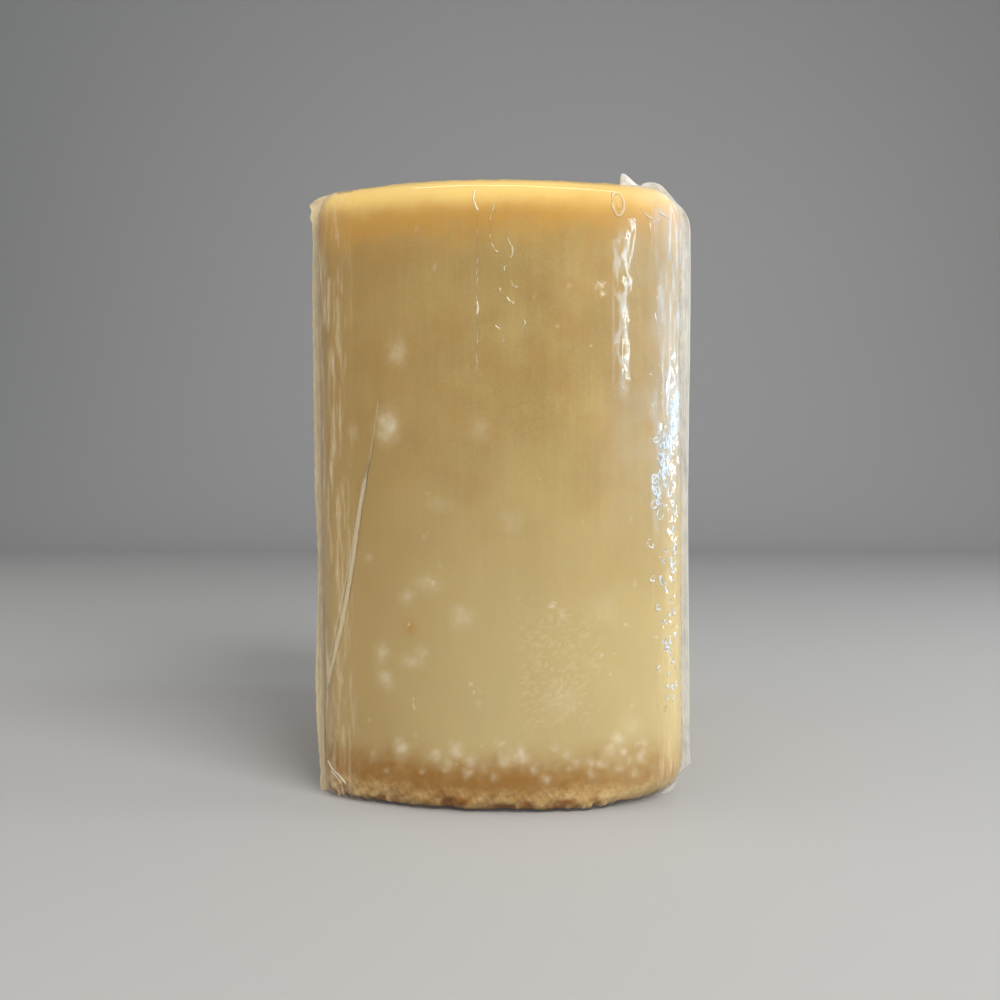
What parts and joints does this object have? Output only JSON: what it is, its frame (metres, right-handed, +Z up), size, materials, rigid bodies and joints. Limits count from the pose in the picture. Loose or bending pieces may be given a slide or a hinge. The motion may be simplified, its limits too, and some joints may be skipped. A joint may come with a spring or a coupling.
{
  "type": "vacuum-sealed parmesan wedge",
  "caption": "Tall wedge of hard parmesan, sealed skin-tight in clear film with side seams and a laid-over mouth; stands on its flat base.",
  "frame": {"origin": "centre of the bounding box, on the plane that the wedge stands on", "axes": "+Z up, along the wheel's axis; -Y towards the round heel, which is the front; +Y towards the tip; +X to the right, seen from the front"},
  "size_m": [0.1042, 0.1228, 0.1705],
  "materials": {
    "cheese": "waxy, slightly translucent pale yellow paste with white crystals, brown towards the lower rind",
    "clear_film": "clear, glossy, finely wrinkled"
  },
  "bodies": {
    "root": {"sealed_wedge": "cheese"}
  },
  "joints": []
}
